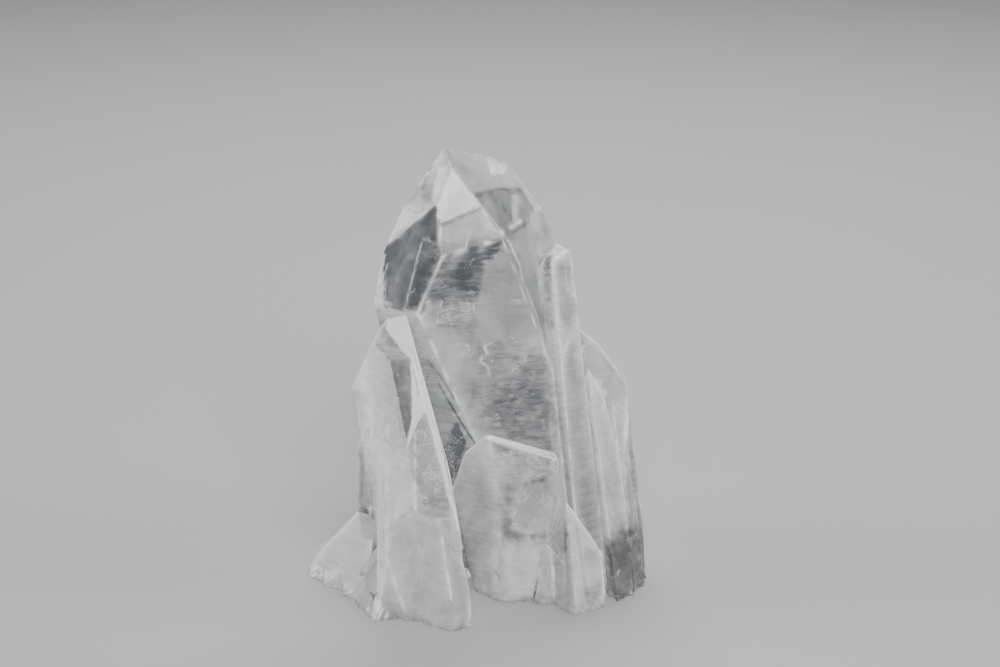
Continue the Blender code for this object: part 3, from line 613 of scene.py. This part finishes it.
def sliver(spine, width, outward, seed):
    """A thin raised splinter: an ellipse carried along a spine, tapered to both ends, its width ragged.

    point(s, t) = spine(t) + width * swell(t) * (cos(s) * across(t) + 0.3 * sin(s) * outward)
    Returns the points, the quads round it, and the polygons that close its two ends.
    """
    lengths = np.append(0.0, np.cumsum(np.linalg.norm(np.diff(spine, axis=0), axis=1)))
    along = np.linspace(0.0, lengths[-1], max(5, math.ceil(lengths[-1] / 0.35)))
    path = np.stack([np.interp(along, lengths, spine[:, axis]) for axis in range(3)], axis=1)
    path += width * 0.5 * np.stack([ripple(path, 3.0, seed + axis) for axis in range(3)], axis=1)
    share = along / lengths[-1]
    taper = np.sqrt(np.clip(np.sin(math.pi * np.clip(share, 0.004, 0.996)), 0.0, 1.0))
    swell = taper * np.clip(0.75 + 0.4 * ripple(path, 1.6, seed + 3), 0.15, 1.4)
    tangent = np.gradient(path, axis=0)
    across = np.cross(tangent, outward)
    across /= np.linalg.norm(across, axis=1, keepdims=True)
    turns = np.linspace(0.0, 2.0 * math.pi, SLIVER_SIDES, endpoint=False)
    ring = np.cos(turns)[:, None] * across[:, None, :] + 0.3 * np.sin(turns)[:, None] * outward
    points = path[:, None, :] + width * swell[:, None, None] * ring
    index = np.arange(len(path) * SLIVER_SIDES).reshape(-1, SLIVER_SIDES)
    beside = np.roll(index, -1, axis=1)
    quads = np.stack([index[:-1], beside[:-1], beside[1:], index[1:]], axis=-1).reshape(-1, 4)
    return points.reshape(-1, 3), quads, np.stack([index[0][::-1], index[-1]])


def splinters(node, turns, directions, distances, seed, offset):
    """All the splinters of a crystal, one for each bright band. Its first point has the number offset."""
    points, polygons, whites = [np.zeros((0, 3))], [], [np.zeros(0)]
    for number, mark in enumerate(MARKS.get(node, [])):
        shape, _, values, width, _ = mark
        if shape != "band" or values.get("white", 0.0) < SPLINTER_WHITE:
            continue
        spine = placed(mark, turns, directions, distances)
        outward = directions[np.argmin(distances - spine.mean(axis=0) @ directions.T)]
        grid, sides, ends = sliver(spine, 0.10 + 0.45 * width, outward, seed + 50 + number)
        points.append(grid)
        polygons += (sides + offset).tolist() + (ends + offset).tolist()
        whites.append(np.full(len(grid), values["white"]))
        offset += len(grid)
    return np.concatenate(points), polygons, np.concatenate(whites)


def glints(points, outward, frost, seed, offset):
    """Glints in the frosted patches: flat six-sided double cones, sunk at random under the surface.

    corner(k) = centre + size * (cos(60 k) * along + sin(60 k) * across)
    tips = centre +- 0.08 * size * normal
    The first point has the number offset.
    """
    rng = np.random.default_rng(seed)
    frosted = np.flatnonzero(frost > GLINT_FROST)
    if len(frosted) == 0:
        return np.zeros((0, 3)), []
    chosen = rng.choice(frosted, max(8, len(frosted) // GLINT_EVERY))
    count = len(chosen)
    centres = points[chosen] - outward[chosen] * rng.uniform(0.0, 1.6, count)[:, None] ** 2
    normal = rng.normal(size=(count, 3)) + outward[chosen]
    normal /= np.linalg.norm(normal, axis=1, keepdims=True)
    along = np.cross(normal, rng.normal(size=(count, 3)))
    along /= np.linalg.norm(along, axis=1, keepdims=True)
    across = np.cross(normal, along)
    turns = np.radians(np.arange(0, 360, 60))[None, :, None]
    size = rng.uniform(0.08, 0.30, count)[:, None, None] * rng.uniform(0.5, 1.0, (count, 6, 1))
    rim = centres[:, None] + size * (np.cos(turns) * along[:, None] + np.sin(turns) * across[:, None])
    lift = 0.08 * size[:, :1] * normal[:, None]
    grid = np.concatenate([rim, centres[:, None] + lift, centres[:, None] - lift], axis=1)
    near, far = np.arange(6), np.roll(np.arange(6), -1)
    upper = np.stack([near, far, np.full(6, 6)], axis=1)
    lower = np.stack([far, near, np.full(6, 7)], axis=1)
    faces = np.concatenate([upper, lower])[None] + 8 * np.arange(count)[:, None, None] + offset
    return grid.reshape(-1, 3), faces.reshape(-1, 3).tolist()


def grow(node, seed):
    """Grow the crystal that stands for a CAD node."""
    settings = bpy.context.scene.quartz
    slot, heart, faces = CRYSTALS[node]
    directions, distances = face_planes(heart, faces)
    grain = settings.grain / MM * (MAIN_POINT_STEP if node == "main_point" else 1.0)
    points, quads, fans = crystal_points(directions, distances, grain)
    face_milk = np.array(faces)[:, 3]
    milk = np.append(face_milk, GROUND_MILK) * MILK_CONTRAST - MILK_DROP
    own = np.argmin(distances - points @ directions.T, axis=1)
    shaped, edge, rim = weather(points, directions, distances, face_milk, settings, seed)
    upright = np.clip(1.45 - 3.6 * np.abs(directions[own, 2]), 0.0, 1.0)
    # the rim's extra milk is a painted glow along upward-facing rims
    channels = {"milk": milk[own] + RIM_GLOW_MILK * rim,
                # white along exposed edges is a painted edge highlight, with some crushing
                "white": edge * np.clip(0.3 + 0.4 * ripple(points, 5.0, seed + 9), 0.0, 1.0),
                "frost": np.full(len(points), PLAIN_FROST), "streak": PLAIN_STREAK * upright,
                "dent": np.zeros(len(points))}
    turns = np.append(np.array(faces)[:, 0], np.nan)
    paint(node, points, channels, turns, directions, distances, seed)
    ragged = np.clip(1.0 + 0.5 * ripple(points, 1.3, seed + 10), 0.0, 2.0)
    shaped -= directions[own] * (channels.pop("dent") * ragged)[:, None]
    thin, slivers, whites = splinters(node, turns, directions, distances, seed, len(shaped))
    sparks, cones = glints(shaped, directions[own], channels["frost"], seed + 40, len(shaped) + len(thin))
    polygons = quads.tolist() + fans.tolist() + slivers + cones
    piece = new_piece(node + "_crystal", np.vstack([shaped, thin, sparks]), polygons, quartz_material(slot))
    # splinters take their band's white and glints 0.9, in both milk and white: painted highlights on raised
    # slivers and sunk cones
    whites = np.append(whites, np.full(len(sparks), 0.9))
    extra = {"milk": whites, "white": whites}
    for name, values in channels.items():
        store(piece.data, name, np.append(values, extra.get(name, np.zeros(len(whites)))))
    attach(piece, "root")
    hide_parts(node)


# ---------------------------------------------------------------- materials

def add_node(tree, kind, values=None, **fields):
    """A shader node. Each input, by name or number, takes a value or another node's output."""
    node = tree.nodes.new(kind)
    for key, value in fields.items():
        setattr(node, key, value)
    for key, value in (values or {}).items():
        if isinstance(value, bpy.types.NodeSocket):
            tree.links.new(value, node.inputs[key])
        else:
            node.inputs[key].default_value = value
    return node


def sums(tree, operation, *inputs, **fields):
    """The result of a Math node."""
    return add_node(tree, "ShaderNodeMath", dict(enumerate(inputs)), operation=operation, **fields).outputs[0]


def ramp(tree, value, low, high, start, end, **fields):
    """value from low..high, carried to start..end and held there."""
    limits = {0: value, 1: low, 2: high, 3: start, 4: end}
    return add_node(tree, "ShaderNodeMapRange", limits, **fields).outputs[0]


def noise(tree, place, scale, detail, **values):
    """A noise texture."""
    return add_node(tree, "ShaderNodeTexNoise", {"Vector": place, "Scale": scale, "Detail": detail, **values})


def blend(tree, share, first, second):
    """The first colour, turning into the second as share goes from 0 to 1."""
    colours = {0: share, 6: (*first, 1.0), 7: (*second, 1.0)}
    return add_node(tree, "ShaderNodeMix", colours, data_type="RGBA").outputs[2]


def new_group(name, inputs, outputs):
    """An empty shader node group of plain numbers, with its input and output nodes."""
    tree = bpy.data.node_groups.new(name, "ShaderNodeTree")
    for label, value in inputs.items():
        socket = tree.interface.new_socket(label, in_out="INPUT", socket_type="NodeSocketFloat")
        socket.default_value = value
    for label in outputs:
        tree.interface.new_socket(label, in_out="OUTPUT", socket_type="NodeSocketFloat")
    return tree, tree.nodes.new("NodeGroupInput").outputs, tree.nodes.new("NodeGroupOutput").inputs


def cloud_group():
    """How milky the crystal is: its painted milk, drifting clouds, and growth lines where it is streaky."""
    if "quartz clouds" in bpy.data.node_groups:
        return bpy.data.node_groups["quartz clouds"]
    tree, given, result = new_group("quartz clouds", {"Milk": 0.5, "Streak": 0.4, "Drift": 0.5},
                                    ("Cloud", "Height"))
    place = add_node(tree, "ShaderNodeTexCoord").outputs["Object"]
    drift = noise(tree, place, 85.0, 5.0, Roughness=0.6, Distortion=0.8).outputs["Fac"]
    drifted = sums(tree, "MULTIPLY_ADD", sums(tree, "SUBTRACT", drift, 0.5), given["Drift"], given["Milk"])
    flattened = add_node(tree, "ShaderNodeMapping", {"Vector": place, "Rotation": (0.0, LINE_SLOPE, 0.0),
                                                     "Scale": (230.0, 230.0, 1050.0)}).outputs[0]
    lines = noise(tree, flattened, 1.0, 5.0, Roughness=0.7, Distortion=0.5).outputs["Fac"]
    strength = sums(tree, "MULTIPLY", given["Streak"], 1.5)
    total = sums(tree, "MULTIPLY_ADD", sums(tree, "SUBTRACT", lines, 0.5), strength, drifted, use_clamp=True)
    tree.links.new(total, result["Cloud"])
    tree.links.new(lines, result["Height"])
    return tree


def frost_group():
    """Small bright flecks and wandering crack lines, gathered in drifts where the crystal is frosted."""
    if "quartz frost" in bpy.data.node_groups:
        return bpy.data.node_groups["quartz frost"]
    tree, given, result = new_group("quartz frost", {"Amount": 0.3}, ("Flecks",))
    place = add_node(tree, "ShaderNodeTexCoord").outputs["Object"]
    flecks = ramp(tree, noise(tree, place, 3600.0, 2.0, Roughness=0.7).outputs["Fac"], 0.53, 0.60, 0.0, 1.0)
    drifts = noise(tree, place, 230.0, 5.0, Distortion=0.8).outputs["Fac"]
    bend = noise(tree, place, 500.0, 4.0).outputs["Color"]
    bent = add_node(tree, "ShaderNodeVectorMath", {0: bend, 1: (0.0016, 0.0016, 0.0016), 2: place},
                    operation="MULTIPLY_ADD").outputs[0]
    cracks = add_node(tree, "ShaderNodeTexVoronoi", {"Vector": bent, "Scale": 330.0},
                      feature="DISTANCE_TO_EDGE")
    thin = ramp(tree, cracks.outputs["Distance"], 0.0, 0.03, 0.6, 0.0)
    reach = ramp(tree, given["Amount"], 0.0, 1.0, 0.68, 0.44)
    where = ramp(tree, drifts, reach, sums(tree, "ADD", reach, 0.09), 0.0, 1.0)
    tree.links.new(sums(tree, "MULTIPLY", sums(tree, "MAXIMUM", flecks, thin), where), result["Flecks"])
    return tree


# slot: tint over the milk colour, share of shadow rays let through, drift of the clouds
FINISHES = {
    "clear_quartz": ((0.99, 1.0, 1.0), 0.50, 0.70),
    "milky_quartz": ((1.0, 1.0, 0.995), 0.45, 0.60),
    "rosy_quartz": ((1.0, 0.965, 0.945), 0.48, 0.75),
    "greenish_quartz": ((0.985, 1.0, 0.945), 0.45, 0.50),
}


def quartz_material(slot):
    """Quartz: clear glass, tinted dark grey as painted shade, where it isn't milky, white milk where it is,
    and white along edges and bright bands that is partly crushing and partly painted highlight.

    A share of the lamps' shadow rays passes straight through, so that the inside is lit.
    """
    if slot in bpy.data.materials and bpy.data.materials[slot].get("grown"):
        return bpy.data.materials[slot]
    settings = bpy.context.scene.quartz
    tint, through, drift = FINISHES[slot]
    material = bpy.data.materials.new(slot)
    material["grown"] = True
    material.use_nodes = True
    tree = material.node_tree
    link = tree.links.new
    # white: painted highlights along edges and bright bands, with some crushing
    milk, crushed_and_highlight, frost, streak = [add_node(tree, "ShaderNodeAttribute", attribute_name=name).outputs["Fac"]
                                    for name in ("milk", "white", "frost", "streak")]
    clouds = add_node(tree, "ShaderNodeGroup", {"Milk": milk, "Streak": streak, "Drift": drift},
                      node_tree=cloud_group())
    cloud = clouds.outputs["Cloud"]
    flecks = add_node(tree, "ShaderNodeGroup", {"Amount": frost}, node_tree=frost_group())
    bright = sums(tree, "MAXIMUM", sums(tree, "MULTIPLY", flecks.outputs["Flecks"], FLECK_SHARE), crushed_and_highlight)
    bump = add_node(tree, "ShaderNodeBump", {"Strength": 0.3, "Distance": 0.00012,
                                             "Height": clouds.outputs["Height"]}).outputs[0]

    glass = tree.nodes["Principled BSDF"]
    for socket, value in (("IOR", QUARTZ_IOR), ("Transmission Weight", 1.0), ("Roughness", 0.04)):
        glass.inputs[socket].default_value = value
    # glass colour: the dark tint of the clear parts is painted shade, lighter where the quartz is veiled
    depth = ramp(tree, cloud, 0.12, 0.5, 0.0, 1.0, interpolation_type="SMOOTHSTEP")
    link(blend(tree, depth, settings.clear_shade_colour, settings.veiled_colour), glass.inputs["Base Color"])
    link(bump, glass.inputs["Normal"])

    pale = [channel * shade for channel, shade in zip(settings.milk_colour, tint)]
    # the milky shader turns white where the painted highlights and the frost flecks are
    white = add_node(tree, "ShaderNodeBsdfPrincipled", {
        "IOR": QUARTZ_IOR, "Subsurface Weight": 0.7, "Subsurface Radius": (1.0, 1.0, 1.0),
        "Subsurface Scale": 0.004, "Base Color": blend(tree, bright, pale, CRUSHED_AND_HIGHLIGHT_COLOUR),
        "Roughness": ramp(tree, bright, 0.0, 1.0, 0.09, 0.45), "Normal": bump})

    share = sums(tree, "ADD", sums(tree, "POWER", cloud, MILK_CURVE), bright, use_clamp=True)
    quartz = add_node(tree, "ShaderNodeMixShader", {0: share, 1: glass.outputs[0], 2: white.outputs[0]})
    shadow = add_node(tree, "ShaderNodeLightPath").outputs["Is Shadow Ray"]
    lit = add_node(tree, "ShaderNodeMixShader", {
        0: sums(tree, "MULTIPLY", shadow, through), 1: quartz.outputs[0],
        2: add_node(tree, "ShaderNodeBsdfTransparent").outputs[0]})
    link(lit.outputs[0], tree.nodes["Material Output"].inputs["Surface"])
    return material


def floor_material(colour):
    """A plain matt floor with the faintest unevenness."""
    material = bpy.data.materials.new("studio floor")
    material.use_nodes = True
    tree = material.node_tree
    shader = tree.nodes["Principled BSDF"]
    place = add_node(tree, "ShaderNodeTexCoord").outputs["Object"]
    grain = noise(tree, place, 8.0, 3.0).outputs["Fac"]
    tree.links.new(blend(tree, grain, [c * 0.97 for c in colour], colour), shader.inputs["Base Color"])
    shader.inputs["Roughness"].default_value = 0.75
    return material


# ---------------------------------------------------------------- operators

class QUARTZ_OT_main_point(Operator):
    """Grow the tall tapered point."""
    bl_idname = "quartz.main_point"
    bl_label = "Grow main point"

    def execute(self, context):
        grow("main_point", 11)
        return {"FINISHED"}


class QUARTZ_OT_left_crystals(Operator):
    """Grow the leaning companion and the slim crystals on the left."""
    bl_idname = "quartz.left_crystals"
    bl_label = "Grow left crystals"

    def execute(self, context):
        for seed, node in enumerate(("left_companion", "left_window", "left_pale")):
            grow(node, 21 + seed * 10)
        return {"FINISHED"}


class QUARTZ_OT_foot_fan(Operator):
    """Grow the fan of short crystals at the front left of the foot."""
    bl_idname = "quartz.foot_fan"
    bl_label = "Grow foot fan"

    def execute(self, context):
        for seed, node in enumerate(("left_flare", "fan_outer", "fan_middle", "fan_inner")):
            grow(node, 61 + seed * 10)
        return {"FINISHED"}


class QUARTZ_OT_front_crystals(Operator):
    """Grow the block, the chip and the wedge in front of the point."""
    bl_idname = "quartz.front_crystals"
    bl_label = "Grow front crystals"

    def execute(self, context):
        for seed, node in enumerate(("front_block", "front_right_chip", "front_right_wedge")):
            grow(node, 111 + seed * 10)
        return {"FINISHED"}


class QUARTZ_OT_right_crystals(Operator):
    """Grow the slender crystal, the ribs and the broad crystal on the right."""
    bl_idname = "quartz.right_crystals"
    bl_label = "Grow right crystals"

    def execute(self, context):
        for seed, node in enumerate(("right_slender", "right_rib_inner", "right_rib_outer", "right_broad")):
            grow(node, 151 + seed * 10)
        return {"FINISHED"}


def area_lamp(name, place, target, size, power):
    """A soft rectangular lamp that faces the target."""
    data = bpy.data.lights.new(name, "AREA")
    data.shape = "RECTANGLE"
    data.size, data.size_y = size
    data.energy = power
    lamp = bpy.data.objects.new(name, data)
    bpy.context.scene.collection.objects.link(lamp)
    lamp.location = place
    away = np.array(place) - np.array(target)
    lamp.rotation_euler = (math.atan2(math.hypot(away[0], away[1]), away[2]), 0.0,
                           math.atan2(away[0], -away[1]))


FLOOR_HALF = 3.0                # half the floor's side, metres
LIT_POINT = (0.0, 0.0, 0.05)    # where the lamps point, metres
LOOK_AT = (0.0061, 0.010, 0.0643)  # where the camera points, metres
# Each lamp: name, place and size in metres, share of the key lamp's power.
LAMPS = (
    ("key", (0.12, -0.58, 0.66), (0.50, 0.40), 1.0),
    ("left", (-0.72, 0.02, 0.34), (0.30, 0.50), 0.42),
    ("right", (0.72, -0.08, 0.30), (0.30, 0.50), 0.38),
    ("back", (0.05, 0.45, 0.52), (0.60, 0.30), 0.55),
)


class QUARTZ_OT_stage(Operator):
    """Lay the floor, hang the lamps and set up the camera."""
    bl_idname = "quartz.stage"
    bl_label = "Build stage"

    def execute(self, context):
        settings = context.scene.quartz_stage
        corners = np.array([(-1, -1, 0), (1, -1, 0), (1, 1, 0), (-1, 1, 0)]) * FLOOR_HALF
        floor = new_piece("studio_floor", corners / MM, [(0, 1, 2, 3)], floor_material(settings.floor_colour))
        for name, place, size, share in LAMPS:
            area_lamp(name, place, LIT_POINT, size, settings.lamp_power * share)
        world = bpy.data.worlds.new("studio air")
        world.use_nodes = True
        background = world.node_tree.nodes["Background"]
        background.inputs["Color"].default_value = (0.62, 0.63, 0.65, 1.0)
        background.inputs["Strength"].default_value = 0.12
        context.scene.world = world
        data = bpy.data.cameras.new("camera")
        data.lens = settings.lens
        data.sensor_width = 36.0
        data.clip_start = 0.01
        camera = bpy.data.objects.new("camera", data)
        context.scene.collection.objects.link(camera)
        back = np.array([0.0, -math.cos(settings.elevation), math.sin(settings.elevation)])
        camera.location = np.array(LOOK_AT) + back * settings.distance
        camera.rotation_euler = (math.pi / 2 - settings.elevation, 0.0, 0.0)
        context.scene.camera = camera
        return {"FINISHED"}


STEPS = (QUARTZ_OT_main_point, QUARTZ_OT_left_crystals, QUARTZ_OT_foot_fan, QUARTZ_OT_front_crystals,
         QUARTZ_OT_right_crystals, QUARTZ_OT_stage)


class QUARTZ_PT_panel(Panel):
    """Lists the settings and the steps."""
    bl_label = "Quartz cluster"
    bl_idname = "QUARTZ_PT_panel"
    bl_space_type = "VIEW_3D"
    bl_region_type = "UI"
    bl_category = "Quartz"

    def draw(self, context):
        for group in (context.scene.quartz, context.scene.quartz_stage):
            for name in group.bl_rna.properties.keys():
                if name not in ("rna_type", "name"):
                    self.layout.prop(group, name)
        for step in STEPS:
            self.layout.operator(step.bl_idname)


CLASSES = (QuartzSettings, StageSettings, *STEPS, QUARTZ_PT_panel)


def register():
    for item in CLASSES:
        bpy.utils.register_class(item)
    bpy.types.Scene.quartz = PointerProperty(type=QuartzSettings)
    bpy.types.Scene.quartz_stage = PointerProperty(type=StageSettings)


def unregister():
    del bpy.types.Scene.quartz_stage
    del bpy.types.Scene.quartz
    for item in reversed(CLASSES):
        bpy.utils.unregister_class(item)


def main():
    register()
    bpy.ops.quartz.main_point()
    bpy.ops.quartz.left_crystals()
    bpy.ops.quartz.foot_fan()
    bpy.ops.quartz.front_crystals()
    bpy.ops.quartz.right_crystals()
    bpy.ops.quartz.stage()


if __name__ == "__main__":
    main()
